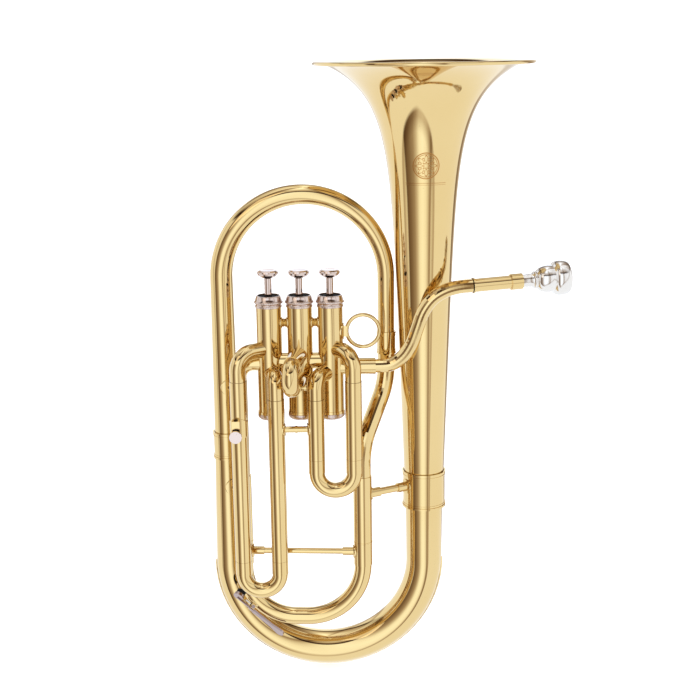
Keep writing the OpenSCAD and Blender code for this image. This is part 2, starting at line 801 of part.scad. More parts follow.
module first_sleeve_left() {
    color(brass) valve_sleeve(0, first_left_x, lower_port_z, 12, first_left_ring_z, first_end_z);
}

module first_sleeve_right() {
    color(brass) valve_sleeve(0, first_right_x, upper_port_z, 16, first_right_ring_z, first_end_z);
}

// Return bend with a ferrule and a long leg at each end; origin between the sleeves' ends
module slide_loop(span, leg_h) {
    r = span / 2;
    inner = leg_r - tube_wall;
    for (x = [-r, r]) translate([x, 0, 0]) {
        translate([0, 0, -joint_gap]) pipe(leg_r, inner, leg_h);
        translate([0, 0, -joint_gap - ferrule_h]) pipe(sleeve_r, inner, ferrule_h);
    }
    translate([0, 0, -joint_gap - ferrule_h]) rotate([180, 0, 0])
        bend(r, slide_bow_r, inner, 180);
}

module third_slide() {
    color(brass) translate([(third_left_x + third_right_x) / 2, slide_y, third_end_z])
        slide_loop(third_right_x - third_left_x, third_leg_h);
}

module first_slide() {
    color(brass) translate([(first_left_x + first_right_x) / 2, slide_y, first_end_z])
        slide_loop(first_right_x - first_left_x, first_leg_h);
}

second_end = 36;
second_ferrule = 12;
module second_sleeves() {
    color(brass) at_valve(1) rotate([0, 0, second_slide_turn]) difference() {
        for (z = [-second_port_half, second_port_half])
            translate([stub_start, 0, second_port_z + z]) rotate([0, 90, 0])
                pipe(sleeve_r, leg_r + slide_gap, second_end - stub_start);
        translate([0, 0, second_port_z - 20]) cylinder(r = casing_r + 0.03, h = 40);
    }
}

// Second valve slide with a small pull knob soldered to its upper leg
module second_slide() {
    inner = leg_r - tube_wall;
    start = second_end + joint_gap;
    color(brass) at_valve(1) rotate([0, 0, second_slide_turn]) translate([0, 0, second_port_z]) {
        for (z = [-second_port_half, second_port_half]) translate([0, 0, z]) rotate([0, 90, 0]) {
            translate([0, 0, casing_r + 1.5]) pipe(leg_r, inner, start - casing_r - 1.5);
            translate([0, 0, start]) pipe(sleeve_r, inner, second_ferrule);
        }
        translate([start + second_ferrule, 0, 0]) rotate([0, 90, 0])
            bend(second_port_half, slide_bow_r, inner, 180);
        translate([start + second_ferrule / 2, sleeve_r + 0.03, -second_port_half]) rotate([-90, 0, 0])
            rotate_extrude() polygon([[0, 0], [1.5, 0], [1.5, 2.2], [2.9, 2.2], [2.9, 4.6], [0, 4.6]]);
    }
}

// ---- Leadpipe, receiver and mouthpiece ----

module leadpipe() {
    route = smooth_route(lead_route, lead_steps);
    color(brass) {
        difference() {
            translate([valve_x[0] + stub_start, valve_y, inlet_z]) rotate([0, 90, 0])
                pipe(knuckle_r, lead_r + 0.1, lead_route[2][0] - valve_x[0] - stub_start);
            casing_cut();
        }
        swept_tube(route, [for (p = route) lead_r], sheet, 20);
    }
}

module mouthpiece_receiver() {
    color(brass) translate(receiver_start) rotate(receiver_turn) difference() {
        union() {
            translate([0, 0, 0.3]) cylinder(r = 6.5, h = receiver_l - 0.3);
            translate([0, 0, 0.3]) cylinder(r = 7.3, h = 1.6);
            translate([0, 0, receiver_l - collar_l]) cylinder(r = 7.8, h = collar_l);
            translate([0, 0, receiver_l - collar_l - 0.6]) cylinder(r = 7.2, h = 1);
        }
        translate([0, 0, -1]) cylinder(r = 5, h = receiver_l + 2);
        rotate_extrude() polygon([
            [0, receiver_l - shank_in - 1], [5.45, receiver_l - shank_in - 1],
            [5.98, receiver_l + 1], [0, receiver_l + 1]
        ]);
    }
}

module mouthpiece() {
    rim_r = rim_d / 2;
    cup_r = 12.8;
    face = 95;
    low = receiver_l - shank_in;
    color(silver) translate(receiver_start) rotate(receiver_turn) difference() {
        rotate_extrude() polygon([
            [0, low], [5.4, low], [5.91, receiver_l], [6, receiver_l + 0.4], [6.5, 58],
            [6.5, 63], [7.4, 66], [9, 68], [11.2, 71], [12.6, 74], [13.2, 77], [13.2, 79],
            [14.4, 80], [16.2, 82], [rim_r, 85], [rim_r, 90], [16.3, 93], [15.4, 94.5],
            [14.6, face], [0, face]
        ]);
        rotate_extrude() polygon([
            [0, low - 1], [4.4, low - 1], [2.6, 66], [2.6, 68], [5, 71], [8.6, 75.5], [11.3, 82],
            [12.3, 88], [cup_r, 93.3], [13.6, 94.6], [13.9, face + 1], [0, face + 1]
        ]);
    }
}

// Short post and plate where the leadpipe crosses the front of the bell
module leadpipe_brace() {
    z = 386.5;
    bell_r = bell_radius(bell_top_z - z);
    color(brass) translate([bow_r, -bell_r - 0.35, z]) rotate([90, 0, 0]) {
        cylinder(r = 3, h = 1.9);
        translate([0, 0, 0.3]) cylinder(r = 4.5, h = 0.9);
    }
}

// ---- Braces and fittings ----

module bell_brace() {
    z = 196.3;
    toward = unit([bow_r - tuning_right[0], -tuning_right[1]]);
    turn = atan2(toward[1], toward[0]);
    from = tuning_right + toward * (tuning_sleeve_r - 1);
    to = [bow_r, 0] - toward * (bell_ferrule_r - 1);
    color(brass) {
        difference() {
            strut([from[0], from[1], z], [to[0], to[1], z], 3.7, 4.8, 11);
            translate([tuning_right[0], tuning_right[1], z - 8])
                cylinder(r = tuning_sleeve_r + 0.03, h = 16);
            translate([bow_r, 0, z - 8]) cylinder(r = bell_ferrule_r + 0.03, h = 16);
        }
        saddle(tuning_right, z, tuning_sleeve_r, turn, 6.8, 1);
        saddle([bow_r, 0], z, bell_ferrule_r, turn + 180, 7.5, 1);
    }
}

module slide_brace() {
    z = 269.6;
    reach = first_left_x - third_right_x;
    color(brass) {
        difference() {
            translate([third_right_x, slide_y, z]) rotate([0, 90, 0]) {
                cylinder(r = 3.1, h = reach);
                translate([0, 0, reach / 2 - 1]) cylinder(r = 3.6, h = 2);
            }
            for (x = [third_right_x, first_left_x]) translate([x, slide_y, z - 8])
                cylinder(r = sleeve_r + 0.03, h = 16);
        }
        saddle([third_right_x, slide_y], z, sleeve_r, 0, 6, 0.8);
        saddle([first_left_x, slide_y], z, sleeve_r, 180, 6, 0.8);
    }
}

module branch_braces() {
    reach = tuning_left + [bow_r, 0];
    toward = unit(reach);
    turn = atan2(toward[1], toward[0]);
    color(brass) for (z = [301.2, 198.4]) {
        branch_r = z > branch_joint_z ? 11.95 : 13.6;
        tube_r = z > tuning_top_z ? 8.2 : tuning_sleeve_r;
        difference() {
            translate([-bow_r, 0, z]) rotate([0, 0, turn]) rotate([0, 90, 0])
                cylinder(r = 3.8, h = norm(reach));
            translate([-bow_r, 0, z - 10]) cylinder(r = branch_r + 0.03, h = 20);
            translate([tuning_left[0], tuning_left[1], z - 10]) cylinder(r = tube_r + 0.03, h = 20);
        }
        saddle([-bow_r, 0], z, branch_r, turn, 9, 1);
        saddle(tuning_left, z, tube_r, turn + 180, 6, 0.9);
    }
}

module finger_ring() {
    color(brass) {
        translate(ring_centre) rotate([90, 0, 0]) rotate_extrude()
            translate([ring_r, 0]) circle(r = ring_wire_r, $fn = 24);
        difference() {
            translate([valve_x[0], valve_y - 1.9, ring_centre[2] - 5.2])
                cube([ring_centre[0] - ring_r - valve_x[0], 3.8, 10.4]);
            at_valve(0) translate([0, 0, cap_bottom_z])
                cylinder(r = casing_r + 0.03, h = cap_top_z - cap_bottom_z);
            translate(ring_centre) rotate([90, 0, 0]) translate([0, 0, -5])
                cylinder(r = ring_r - 0.6, h = 10);
        }
        saddle([valve_x[0], valve_y], ring_centre[2], casing_r, 0, 8, 0.9);
    }
}

module lyre_socket() {
    h = lyre_z[1] - lyre_z[0];
    color(brass) {
        difference() {
            union() {
                translate([lyre_x - lyre_w / 2, lyre_y - lyre_w / 2, lyre_z[0]])
                    cube([lyre_w, lyre_w, h]);
                translate([lyre_x - 1.5, lyre_y, lyre_z[0]]) cube([3, 6, h]);
            }
            translate([lyre_x, lyre_y, lyre_z[0] + 1.5]) cylinder(r = lyre_r, h = h);
            translate([lyre_x, lyre_y, lyre_screw_z]) rotate([90, 0, 0])
                cylinder(r = 1.55, h = lyre_w);
            translate([third_left_x, slide_y, lyre_z[0] - 1]) cylinder(r = sleeve_r + 0.03, h = h + 2);
        }
        saddle([third_left_x, slide_y], (lyre_z[0] + lyre_z[1]) / 2, sleeve_r, 262, 11, 0.9);
    }
}

module lyre_screw() {
    tip = lyre_y - lyre_r - 0.15;
    color(nickel) translate([lyre_x, tip, lyre_screw_z]) rotate([90, 0, 0]) {
        cylinder(r = 1.5, h = 7);
        translate([0, 0, 3.2]) cylinder(r = 2.6, h = 1.4);
        translate([0, 0, 4.4]) cylinder(r = 5.9, h = 2.6);
    }
}

bell();
bell_stem();
bell_ferrule();
bottom_bow();
bow_guard();
branch_ferrule();
top_bow();
top_bow_ferrule();
offset_tube();
tuning_sleeve_left();
tuning_sleeve_right();
exit_tube();
valve_casing_1();
valve_casing_2();
valve_casing_3();
valve_knuckles();
casing_braces();
top_cap_1();
top_cap_2();
top_cap_3();
bottom_cap_1();
bottom_cap_2();
bottom_cap_3();
cap_felts();
leadpipe();
mouthpiece_receiver();
leadpipe_brace();
third_sleeve_left();
third_sleeve_right();
first_sleeve_left();
first_sleeve_right();
second_sleeves();
bell_brace();
slide_brace();
branch_braces();
finger_ring();
lyre_socket();
piston_1();
piston_2();
piston_3();
valve_stem_1();
valve_stem_2();
valve_stem_3();
finger_button_1();
finger_button_2();
finger_button_3();
valve_spring_1();
valve_spring_2();
valve_spring_3();
tuning_slide();
tuning_brace();
first_slide();
second_slide();
third_slide();
water_key_lever();
water_key_cork();
water_key_pin();
water_key_spring();
mouthpiece();
lyre_screw();
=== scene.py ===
"""Studio scene of a compact three-valve baritone horn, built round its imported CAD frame."""
import json
import math
import bmesh
import bpy
from mathutils import Matrix, Vector


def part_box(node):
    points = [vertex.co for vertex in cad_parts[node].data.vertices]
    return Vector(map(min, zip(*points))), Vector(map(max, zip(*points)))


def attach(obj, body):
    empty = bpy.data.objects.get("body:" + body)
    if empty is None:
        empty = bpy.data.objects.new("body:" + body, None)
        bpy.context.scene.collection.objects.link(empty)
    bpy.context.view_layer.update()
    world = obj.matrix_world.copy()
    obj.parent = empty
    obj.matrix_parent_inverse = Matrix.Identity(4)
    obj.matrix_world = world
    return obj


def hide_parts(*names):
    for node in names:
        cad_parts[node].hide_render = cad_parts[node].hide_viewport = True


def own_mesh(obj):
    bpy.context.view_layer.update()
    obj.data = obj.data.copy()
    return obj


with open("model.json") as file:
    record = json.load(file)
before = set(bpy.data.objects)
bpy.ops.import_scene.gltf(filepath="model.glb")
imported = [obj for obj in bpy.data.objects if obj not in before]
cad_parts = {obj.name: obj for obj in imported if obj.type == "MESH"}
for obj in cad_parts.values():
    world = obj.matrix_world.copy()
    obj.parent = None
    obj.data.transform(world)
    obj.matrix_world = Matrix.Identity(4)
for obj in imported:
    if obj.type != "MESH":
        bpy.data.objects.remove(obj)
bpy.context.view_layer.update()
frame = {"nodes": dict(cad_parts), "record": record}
NODES = frame["nodes"]
MM = 0.001


# ---- Places taken from the frame ----

def middle(node):
    low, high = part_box(node)
    return (low + high) / 2


BELL_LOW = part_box("bell_stem")[0]
BELL_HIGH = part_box("bell")[1]
BELL_X = middle("bell").x
RIM_R = BELL_HIGH.x - BELL_X
BRANCH_X = middle("branch_ferrule").x
LEG_X = middle("top_bow_ferrule").x
BOTTOM_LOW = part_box("bottom_bow")[0]
TOP_LOW, TOP_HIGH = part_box("top_bow")
# Sheet thickness, and outside radii of the valve slides' sleeves and the casings
SHEET = 0.8 * MM
SLEEVE_R = 8 * MM
CASING_R = 12.1 * MM

# Outside radii of the bows: at the start, at the half circle's start, middle and end, at the end
BOTTOM_R = (12.4 * MM, 15 * MM, 17.25 * MM, 17.9 * MM, 18.9 * MM)
TOP_R = (8 * MM, 8.2 * MM, 9.75 * MM, 11 * MM, 12.2 * MM)
BOW_R = (BELL_X - BRANCH_X) / 2
BOW_X = (BELL_X + BRANCH_X) / 2
BOW_Z = BOTTOM_LOW.z + BOTTOM_R[2] + BOW_R
TOP_BOW_R = (LEG_X - BRANCH_X) / 2
TOP_BOW_X = (LEG_X + BRANCH_X) / 2
TOP_BOW_Z = TOP_HIGH.z - TOP_R[2] - TOP_BOW_R


# ---- Camera, floor and light ----

CAMERA_AIM = Vector((0.0256, 0, 0.33475))
CAMERA_DISTANCE = 1.278
CAMERA_LENS = 66.86
CAMERA_ELEVATION = math.radians(13.5)
CAMERA_ROLL = math.radians(0.75)
FLOOR_Z = -0.0015
FLOOR_GLOW = 0.6


def make_camera():
    data = bpy.data.cameras.new("camera")
    data.lens = CAMERA_LENS
    data.sensor_width = 36
    data.clip_end = 20
    camera = bpy.data.objects.new("camera", data)
    bpy.context.scene.collection.objects.link(camera)
    up = Vector((0, math.sin(CAMERA_ELEVATION), math.cos(CAMERA_ELEVATION)))
    back = Vector((0, -math.cos(CAMERA_ELEVATION), math.sin(CAMERA_ELEVATION)))
    right = Vector((1, 0, 0))
    cos_roll, sin_roll = math.cos(CAMERA_ROLL), math.sin(CAMERA_ROLL)
    axis_x = right * cos_roll - up * sin_roll
    axis_y = right * sin_roll + up * cos_roll
    turn = Matrix((axis_x, axis_y, back)).transposed().to_4x4()
    camera.matrix_world = Matrix.Translation(CAMERA_AIM + back * CAMERA_DISTANCE) @ turn
    bpy.context.scene.camera = camera


def make_floor():
    """Pale sweep: a flat floor that curves up far behind the horn."""
    half = 6
    curve_r = 2.5
    steps = 24
    profile = [(-half, 0.0)]
    for k in range(steps + 1):
        t = math.pi / 2 * k / steps
        profile.append((half - curve_r + curve_r * math.sin(t), curve_r * (1 - math.cos(t))))
    profile.append((half, half))
    points = [(x, y, z) for y, z in profile for x in (-half, half)]
    faces = [(2 * k, 2 * k + 1, 2 * k + 3, 2 * k + 2) for k in range(len(profile) - 1)]
    mesh = bpy.data.meshes.new("floor")
    mesh.from_pydata(points, [], faces)
    mesh.shade_smooth()
    floor = bpy.data.objects.new("floor", mesh)
    floor.location.z = FLOOR_Z
    floor.visible_glossy = False
    bpy.context.scene.collection.objects.link(floor)
    material = bpy.data.materials.new("floor")
    material.use_nodes = True
    shader = material.node_tree.nodes["Principled BSDF"]
    shader.inputs["Base Color"].default_value = (0.93, 0.93, 0.93, 1)
    shader.inputs["Roughness"].default_value = 0.8
    shader.inputs["Specular IOR Level"].default_value = 0.1
    shader.inputs["Emission Color"].default_value = (1, 1, 1, 1)
    shader.inputs["Emission Strength"].default_value = FLOOR_GLOW
    mesh.materials.append(material)


class Graph:
    """Short way to add and join nodes of a shader tree."""

    def __init__(self, tree):
        self.tree = tree

    def add(self, kind, **settings):
        node = self.tree.nodes.new(kind)
        for name, value in settings.items():
            setattr(node, name, value)
        return node

    def join(self, source, target):
        self.tree.links.new(source, target)

    def math(self, operation, a, b=None):
        node = self.add("ShaderNodeMath", operation=operation)
        for socket, value in zip(node.inputs, (a, b)):
            if value is None:
                continue
            if isinstance(value, (int, float)):
                socket.default_value = value
            else:
                self.join(value, socket)
        return node.outputs[0]

    def ramp(self, source, stops, mode="LINEAR"):
        node = self.add("ShaderNodeValToRGB")
        node.color_ramp.interpolation = mode
        elements = node.color_ramp.elements
        while len(elements) < len(stops):
            elements.new(0.5)
        for element, (place, color) in zip(elements, stops):
            element.position = place
            element.color = (*color, 1)
        self.join(source, node.inputs[0])
        return node.outputs[0]

    def mix(self, a, b, share=1, mode="MULTIPLY"):
        """Colour b laid over colour a; each may be a socket or a fixed value."""
        node = self.add("ShaderNodeMix", data_type="RGBA", blend_type=mode)
        for socket, value in zip((node.inputs[0], node.inputs[6], node.inputs[7]), (share, a, b)):
            if isinstance(value, (int, float, tuple)):
                socket.default_value = value
            else:
                self.join(value, socket)
        return node.outputs[2]


def grey(value):
    return (value, value, value)


def warm(level):
    """Tent tone: its shaded parts see brass and are warmer."""
    return (level, level ** 1.25, level ** 1.5)


# Brightness of the tent round the vertical, by angle in degrees from the horn's front
TENT = [
    (-180, 1.12), (-178, 1.1), (-172, 0.95), (-166, 0.72), (-163, 0.5), (-161, 0.55), (-157, 0.95),
    (-105, 0.97), (-66, 0.9), (-62, 0.16), (-50, 0.25), (-36, 0.42), (-27, 0.72),
    (-18, 1.15), (-8, 1.25), (2, 1.15), (8, 0.95), (14, 0.6), (17, 0.36), (19, 0.42), (23, 0.95),
    (40, 1.0), (114, 0.95), (118, 0.35), (130, 0.42), (144, 0.6), (153, 0.85),
    (162, 1.12), (172, 1.2), (180, 1.12),
]
# The tent opens in an arch at its front and its back: the front one's middle and half width
ARCH_MIDDLE = -22
ARCH_HALF = 42
# Sine of the elevation where the arch starts at its middle, and how far it rises at its sides
ARCH_FOOT = -0.86
ARCH_RISE = 0.32
# The back opening starts this much higher
BACK_LIFT = 0.45
# The seam along an opening's foot is drawn on a ramp that starts this far under it
SEAM_SHIFT = 0.2
# The tent cloth is a cool white, brighter than the page
TENT_CLOTH = (1.2, 1.31, 1.49, 1)


def make_world():
    """A white tent with darker seams round its two openings, seen only in reflections."""
    world = bpy.data.worlds.new("studio")
    bpy.context.scene.world = world
    world.use_nodes = True
    graph = Graph(world.node_tree)
    world.node_tree.nodes.clear()
    place = graph.add("ShaderNodeTexCoord")
    split = graph.add("ShaderNodeSeparateXYZ")
    graph.join(place.outputs["Generated"], split.inputs[0])
    height = split.outputs[2]
    angle = graph.math("ARCTAN2", split.outputs[0], graph.math("MULTIPLY", split.outputs[1], -1))
    turn = graph.math("ADD", graph.math("DIVIDE", angle, 2 * math.pi), 0.5)
    around = graph.ramp(turn, [(a / 360 + 0.5, warm(level)) for a, level in TENT])
    offset = graph.math("SUBTRACT", turn, ARCH_MIDDLE / 360 + 0.25)
    fold = graph.math("SUBTRACT", graph.math("FLOORED_MODULO", offset, 0.5), 0.25)
    side = graph.math("DIVIDE", fold, ARCH_HALF / 360)
    spread = graph.math("MULTIPLY", side, side)
    facing = graph.math("COSINE", graph.math("SUBTRACT", angle, math.radians(ARCH_MIDDLE)))
    lift = graph.math("MULTIPLY", graph.math("LESS_THAN", facing, 0), BACK_LIFT)
    foot = graph.math("ADD", graph.math("MULTIPLY", spread, ARCH_RISE), ARCH_FOOT)
    foot = graph.math("ADD", foot, lift)
    over = graph.math("ADD", graph.math("SUBTRACT", height, foot), SEAM_SHIFT)
    edge = graph.ramp(over, [
        (0.16, grey(1)), (0.22, warm(0.62)), (0.30, warm(0.62)), (0.46, grey(1)),
    ])
    inside = graph.ramp(over, [(0.17, grey(0)), (0.24, grey(1))])
    arch = graph.mix((1, 1, 1, 1), graph.mix(around, edge), inside, "MIX")
    # Dark slot over the opening, then a softer roof
    roof = graph.ramp(graph.math("ADD", graph.math("MULTIPLY", height, 0.5), 0.5), [
        (0.755, grey(1)), (0.78, warm(0.07)), (0.815, warm(0.05)), (0.85, warm(0.45)),
        (0.92, warm(0.7)), (0.965, grey(1.1)), (1.0, grey(1.2)),
    ])
    front = graph.ramp(graph.math("MULTIPLY", spread, 0.25), [(0.55, grey(1)), (1.0, grey(0.3))])
    cloth = graph.mix(graph.mix(arch, roof, front), TENT_CLOTH)
    seen = graph.add("ShaderNodeBackground")
    seen.inputs[0].default_value = (1, 1, 1, 1)
    lit = graph.add("ShaderNodeBackground")
    graph.join(cloth, lit.inputs[0])
    path = graph.add("ShaderNodeLightPath")
    mix = graph.add("ShaderNodeMixShader")
    graph.join(path.outputs["Is Camera Ray"], mix.inputs[0])
    graph.join(lit.outputs[0], mix.inputs[1])
    graph.join(seen.outputs[0], mix.inputs[2])
    output = graph.add("ShaderNodeOutputWorld")
    graph.join(mix.outputs[0], output.inputs[0])


KEY_PLACE = (-1.3, -1.6, 1.9)
KEY_AIM = (0, 0, 0.3)
KEY_SIZE = (1.2, 1.6)
KEY_WATTS = 6


def make_light(name, place, aim, size, power):
    data = bpy.data.lights.new(name, "AREA")
    data.shape = "RECTANGLE"
    data.size, data.size_y = size
    data.energy = power
    light = bpy.data.objects.new(name, data)
    bpy.context.scene.collection.objects.link(light)
    light.location = place
    light.rotation_euler = (Vector(aim) - Vector(place)).to_track_quat("-Z", "Y").to_euler()


# ---- Materials ----

# Strength of the polishing lines' bump, and their stretch along tubes and round the bell
RELIEF = 0.02
DRAWN = (900, 900, 30)
SPUN = (25, 25, 900)
# Noise scales, per metre: tone, dust pits, handling smears and the finest relief
TONE_SCALE = 9
PIT_SCALE = 420
SMEAR_SCALE = 45
FINE_SCALE = 900
# Polishing lines stronger than this are scratches, which are rougher by SCRATCH_ROUGH
SCRATCH_FROM = 0.66
SCRATCH_ROUGH = 0.05


def noise(graph, place, scale, detail, rough=0.5):
    texture = graph.add("ShaderNodeTexNoise")
    texture.inputs["Scale"].default_value = scale
    texture.inputs["Detail"].default_value = detail
    texture.inputs["Roughness"].default_value = rough
    graph.join(place, texture.inputs["Vector"])
    return texture.outputs["Fac"]


def metal(name, color, tint, rough, coat=0.0, grain=DRAWN, marks=0.035):
    """Polished plate: slow tone changes, handling smears, drawn or spun lines, fine dust pits."""
    material = bpy.data.materials.new(name)
    material.use_nodes = True
    graph = Graph(material.node_tree)
    shader = material.node_tree.nodes["Principled BSDF"]
    shader.inputs["Metallic"].default_value = 1
    shader.inputs["Coat Weight"].default_value = coat
    shader.inputs["Coat Roughness"].default_value = 0.03
    place = graph.add("ShaderNodeTexCoord").outputs["Object"]
    tone = graph.ramp(noise(graph, place, TONE_SCALE, 4), [(0.35, tint), (0.65, color)])
    pits = graph.ramp(noise(graph, place, PIT_SCALE, 2), [(0.18, grey(0.8)), (0.27, grey(1))])
    graph.join(graph.mix(tone, pits), shader.inputs["Base Color"])
    stretch = graph.add("ShaderNodeVectorMath", operation="MULTIPLY")
    graph.join(place, stretch.inputs[0])
    stretch.inputs[1].default_value = grain
    lines = noise(graph, stretch.outputs[0], 1, 3, 0.65)
    smear = noise(graph, place, SMEAR_SCALE, 6, 0.7)
    spread = graph.add("ShaderNodeMapRange")
    spread.inputs["From Min"].default_value = 0.4
    spread.inputs["From Max"].default_value = 0.75
    spread.inputs["To Min"].default_value = rough
    spread.inputs["To Max"].default_value = rough + marks
    graph.join(smear, spread.inputs["Value"])
    scratch = graph.math("MULTIPLY", graph.math("GREATER_THAN", lines, SCRATCH_FROM), SCRATCH_ROUGH)
    graph.join(graph.math("ADD", spread.outputs[0], scratch), shader.inputs["Roughness"])
    fine = noise(graph, place, FINE_SCALE, 3)
    height = graph.math("ADD", graph.math("MULTIPLY", lines, 0.6), fine)
    relief = graph.add("ShaderNodeBump")
    relief.inputs["Strength"].default_value = RELIEF
    relief.inputs["Distance"].default_value = 0.0002
    graph.join(height, relief.inputs["Height"])
    graph.join(relief.outputs[0], shader.inputs["Normal"])
    return material


# The rosette's middle under the rim, its radius, its petals and the tint of engraved lines
ROSETTE_DROP = 95 * MM
ROSETTE_R = 12 * MM
PETALS = 8
# Half length of the double rule, in rosette radii, and how much fainter it is cut
RULE_HALF = 1.55
RULE_DEPTH = 0.5
ENGRAVED = (0.7, 0.47, 0.3, 1)


def engraving(graph, place):
    """1 on the lines of a plain rosette and a double rule on the bell's front, 0 elsewhere."""
    split = graph.add("ShaderNodeSeparateXYZ")
    graph.join(place, split.inputs[0])
    x = graph.math("DIVIDE", graph.math("SUBTRACT", split.outputs[0], BELL_X), ROSETTE_R)
    z = graph.math("SUBTRACT", split.outputs[2], BELL_HIGH.z - ROSETTE_DROP)
    z = graph.math("DIVIDE", z, ROSETTE_R)
    squares = graph.math("ADD", graph.math("MULTIPLY", x, x), graph.math("MULTIPLY", z, z))
    radius = graph.math("SQRT", squares)
    wave = graph.math("COSINE", graph.math("MULTIPLY", graph.math("ARCTAN2", z, x), PETALS))

    def near(value, width):
        return graph.math("LESS_THAN", graph.math("ABSOLUTE", value), width)

    def petals(size, swing, width):
        edge = graph.math("ADD", graph.math("MULTIPLY", wave, swing), size)
        return near(graph.math("SUBTRACT", radius, edge), width)

    lines = [
        near(graph.math("SUBTRACT", radius, 1), 0.045), near(graph.math("SUBTRACT", radius, 0.87), 0.025),
        petals(0.6, 0.2, 0.045), petals(0.45, -0.2, 0.04), petals(0.22, 0.06, 0.04),
    ]
    short = graph.math("LESS_THAN", graph.math("ABSOLUTE", x), RULE_HALF)
    short = graph.math("MULTIPLY", short, RULE_DEPTH)
    for drop, width in ((1.36, 0.04), (1.5, 0.025)):
        lines.append(graph.math("MULTIPLY", near(graph.math("ADD", z, drop), width), short))
    total = lines[0]
    for item in lines[1:]:
        total = graph.math("MAXIMUM", total, item)
    return graph.math("MULTIPLY", total, graph.math("LESS_THAN", split.outputs[1], 0))


def engrave(material):
    """Cut the engraving into a metal: its lines are darker and rougher."""
    graph = Graph(material.node_tree)
    shader = material.node_tree.nodes["Principled BSDF"]
    mask = engraving(graph, graph.add("ShaderNodeTexCoord").outputs["Object"])
    tone = graph.mix(shader.inputs["Base Color"].links[0].from_socket, ENGRAVED, mask)
    rough = shader.inputs["Roughness"].links[0].from_socket
    graph.join(graph.math("ADD", rough, graph.math("MULTIPLY", mask, 0.25)), shader.inputs["Roughness"])
    graph.join(tone, shader.inputs["Base Color"])
    return material


def fibre(name, color, tint, scale, rough):
    """Matt fibrous or granular material, such as felt or composition cork."""
    material = bpy.data.materials.new(name)
    material.use_nodes = True
    graph = Graph(material.node_tree)
    shader = material.node_tree.nodes["Principled BSDF"]
    shader.inputs["Roughness"].default_value = rough
    shader.inputs["Specular IOR Level"].default_value = 0.15
    shader.inputs["Sheen Weight"].default_value = 0.04
    place = graph.add("ShaderNodeTexCoord").outputs["Object"]
    grain = noise(graph, place, scale, 8)
    tone = graph.ramp(grain, [(0.3, tint), (0.7, color)])
    graph.join(tone, shader.inputs["Base Color"])
    relief = graph.add("ShaderNodeBump")
    relief.inputs["Strength"].default_value = 0.6
    relief.inputs["Distance"].default_value = 0.0004
    graph.join(grain, relief.inputs["Height"])
    graph.join(relief.outputs[0], shader.inputs["Normal"])
    return material


# Brass colour and tint, its roughness and its coat of lacquer
BRASS = ((0.705, 0.505, 0.222), (0.685, 0.478, 0.198), 0.04, 0.1)
MATERIALS = {
    "lacquered_brass": metal("lacquered_brass", *BRASS),
    "engraved_brass": engrave(metal("engraved_brass", *BRASS, grain=SPUN)),
    "nickel": metal("nickel", (0.626, 0.485, 0.398), (0.59, 0.45, 0.366), 0.07),
    # A darker, rougher copy of the nickel, used on a few small fittings
    "darker_nickel": metal("darker_nickel", (0.46, 0.345, 0.31), (0.37, 0.27, 0.235), 0.16, marks=0.1),
    "silver_plate": metal("silver_plate", (0.75, 0.685, 0.597), (0.715, 0.65, 0.567), 0.12),
    "solder_line": metal("solder_line", (0.34, 0.21, 0.09), (0.24, 0.14, 0.05), 0.35),
    "spring_steel": metal("spring_steel", (0.6, 0.55, 0.45), (0.5, 0.46, 0.38), 0.25),
    # Black felt washers; their near-black tone also paints the dark reflection that the caps' polished
    # tops show
    "felt": fibre("felt", (0.012, 0.012, 0.012), (0.004, 0.004, 0.004), 1800, 0.95),
    "cork": fibre("cork", (0.02, 0.018, 0.016), (0.006, 0.005, 0.005), 1200, 0.8),
}

# Nickel fittings given a darker, rougher copy of the nickel
DARKER_FITTINGS = ("water_key_lever", "water_key_pin")


def paint_frame():
    slots = {part["node"]: part["material_slot"] for part in frame["record"]["subparts"]}
    for name, node in NODES.items():
        node.data.materials.clear()
        look = "darker_nickel" if name in DARKER_FITTINGS else slots[name]
        node.data.materials.append(MATERIALS[look])


# ---- Mesh builders ----

# Edges sharper than this, in degrees, are shaded as edges
CREASE = 35


def new_piece(name, mesh, body, slot, *replaced, look=None):
    """Piece on a body, in a slot's material or its own look, standing for the CAD nodes named."""
    mesh.shade_smooth()
    mesh.set_sharp_from_angle(angle=math.radians(CREASE))
    mesh.materials.append(MATERIALS[look or slot])
    piece = bpy.data.objects.new(name, mesh)
    bpy.context.scene.collection.objects.link(piece)
    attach(piece, body)
    if replaced:
        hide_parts(*replaced)
    return piece


def closed_grids(name, grids):
    """One mesh of several closed grids, each a list of rings whose last ring meets the first."""
    points = []
    faces = []
    for rings in grids:
        base = len(points)
        count = len(rings[0])
        points += [point for ring in rings for point in ring]
        for i in range(len(rings)):
            a, b = base + i * count, base + (i + 1) % len(rings) * count
            for k in range(count):
                n = (k + 1) % count
                faces.append((a + k, a + n, b + n, b + k))
    mesh = bpy.data.meshes.new(name)
    mesh.from_pydata(points, [], faces)
    build = bmesh.new()
    build.from_mesh(mesh)
    bmesh.ops.recalc_face_normals(build, faces=build.faces)
    build.to_mesh(mesh)
    build.free()
    return mesh


def lathe(centre, profile, turns, teeth=0):
    """Rings of a closed profile of (radius, height, knurl depth) turned round the vertical."""
    rings = []
    for k in range(turns):
        t = 2 * math.pi * k / turns
        tooth = (1 + math.cos(teeth * t)) / 2
        ring = []
        for r, z, depth in profile:
            reach = r - depth * tooth
            ring.append(Vector((centre.x + reach * math.cos(t), centre.y + reach * math.sin(t), z)))
        rings.append(ring)
    return rings


def ring_round(centre, along, radius, sides):
    side = along.cross(Vector((0, 1, 0))).normalized()
    up = side.cross(along)
    return [
        centre + radius * (math.cos(t) * side + math.sin(t) * up)
        for t in (2 * math.pi * k / sides for k in range(sides))
    ]


def tangents(path):
    last = len(path) - 1
    return [(path[min(i + 1, last)] - path[max(i - 1, 0)]).normalized() for i in range(last + 1)]


